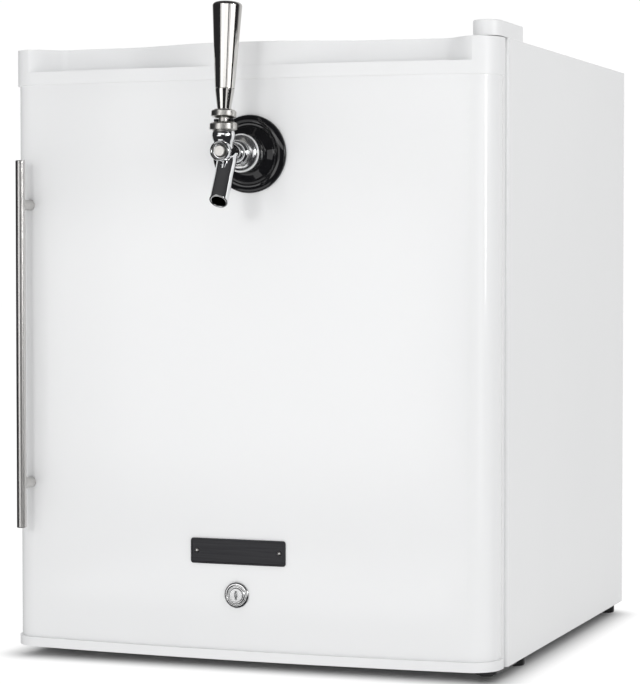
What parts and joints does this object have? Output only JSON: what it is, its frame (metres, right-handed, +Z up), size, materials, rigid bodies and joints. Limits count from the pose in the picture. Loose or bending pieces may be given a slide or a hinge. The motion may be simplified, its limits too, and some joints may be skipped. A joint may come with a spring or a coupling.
{
  "type": "coffee kegerator",
  "caption": "Compact white refrigerator with a bowed door, a steel bar handle and a key lock, that chills a keg and pours its drink from a chrome tap through the door.",
  "frame": {"origin": "bottom centre of the whole object, on the floor", "axes": "+Z up, the door and its tap face -Y, the door hinge is at +X"},
  "size_m": [0.47, 0.6006, 0.5975],
  "materials": {
    "white_paint": "gloss",
    "white_plastic": "gloss",
    "liner_plastic": "satin",
    "insulation_foam": "matte",
    "zinc_steel": "satin",
    "black_paint": "satin",
    "black_plastic": "gloss",
    "black_rubber": "matte",
    "copper": "satin",
    "plate_aluminium": "satin",
    "seal_rubber": "matte",
    "bush_nylon": "satin",
    "brushed_steel": "satin",
    "chrome": "polished",
    "dark_plate": "satin"
  },
  "bodies": {
    "cabinet": {"left_side_panel": "white_paint", "right_side_panel": "white_paint", "top_panel": "white_paint", "back_panel": "zinc_steel", "back_panel_screws": "zinc_steel", "base_pan": "zinc_steel", "inner_liner": "liner_plastic", "cabinet_insulation": "insulation_foam", "bay_floor_plate": "zinc_steel", "compressor": "black_paint", "compressor_mounts": "black_rubber", "starter_box": "black_plastic", "filter_drier": "copper", "discharge_pipe": "copper", "suction_pipe": "copper", "condenser_tube": "black_paint", "condenser_wires": "black_paint", "condenser_clips": "black_plastic", "cable_gland": "black_plastic", "foot_sockets": "bush_nylon", "rear_feet": "black_plastic", "top_hinge_bracket": "zinc_steel", "top_hinge_pin": "zinc_steel", "bottom_hinge_bracket": "black_paint", "bottom_hinge_pin": "black_paint", "hinge_screws": "zinc_steel", "hinge_cover": "white_plastic", "lock_strike": "zinc_steel", "evaporator_plate": "plate_aluminium", "thermostat_housing": "liner_plastic"},
    "door": {"door_skin": "white_paint", "door_insulation": "insulation_foam", "door_top_cap": "white_plastic", "door_bottom_cap": "white_plastic", "door_liner": "liner_plastic", "door_gasket": "seal_rubber", "hinge_bushes": "bush_nylon", "handle_bar": "brushed_steel", "handle_posts": "brushed_steel", "handle_screws": "zinc_steel", "nameplate": "dark_plate", "nameplate_rivets": "brushed_steel", "lock_housing": "chrome", "lock_nut": "zinc_steel", "tap_flange": "black_plastic", "tap_shank": "chrome", "shank_nut": "chrome", "coupling_nut": "chrome", "tailpiece": "chrome", "tailpiece_nut": "chrome", "faucet_body": "chrome", "faucet_bonnet": "chrome"},
    "tap_lever": {"tap_lever": "chrome", "tap_handle": "brushed_steel"},
    "tap_plunger": {"tap_plunger": "brushed_steel"},
    "lock_plug": {"lock_plug": "chrome", "lock_cam": "zinc_steel"},
    "thermostat_knob": {"thermostat_knob": "liner_plastic"},
    "front_foot_left": {"front_foot_left": "black_plastic"},
    "front_foot_right": {"front_foot_right": "black_plastic"}
  },
  "joints": [
    {"name": "door_hinge", "type": "hinge", "parent": "cabinet", "child": "door", "pos_m": [0.222, -0.18871, 0.289], "axis": [0, 0, 1], "range_deg": [0, 115]},
    {"name": "tap_lever_tilt", "type": "hinge", "parent": "door", "child": "tap_lever", "pos_m": [0.01, -0.28176, 0.486], "axis": [1, 0, 0], "range_deg": [0, 32]},
    {"name": "tap_plunger_slide", "type": "slide", "parent": "door", "child": "tap_plunger", "axis": [0, 1, 0], "range_m": [0, 0.00866]},
    {"name": "lock_turn", "type": "hinge", "parent": "door", "child": "lock_plug", "pos_m": [-0.003, -0.16671, 0.07], "axis": [0, 1, 0], "range_deg": [0, 90]},
    {"name": "thermostat_turn", "type": "hinge", "parent": "cabinet", "child": "thermostat_knob", "pos_m": [0.115, -0.04671, 0.504], "axis": [0, 1, 0], "range_deg": [0, 270]},
    {"name": "front_foot_left_turn", "type": "hinge", "parent": "cabinet", "child": "front_foot_left", "pos_m": [-0.222, -0.09471, 0], "axis": [0, 0, 1], "continuous": true},
    {"name": "front_foot_right_turn", "type": "hinge", "parent": "cabinet", "child": "front_foot_right", "pos_m": [0.222, -0.09471, 0], "axis": [0, 0, 1], "continuous": true}
  ],
  "couplings": [
    {"joint": "tap_plunger_slide", "follows": "tap_lever_tilt", "m_per_rad": 0.015503}
  ]
}
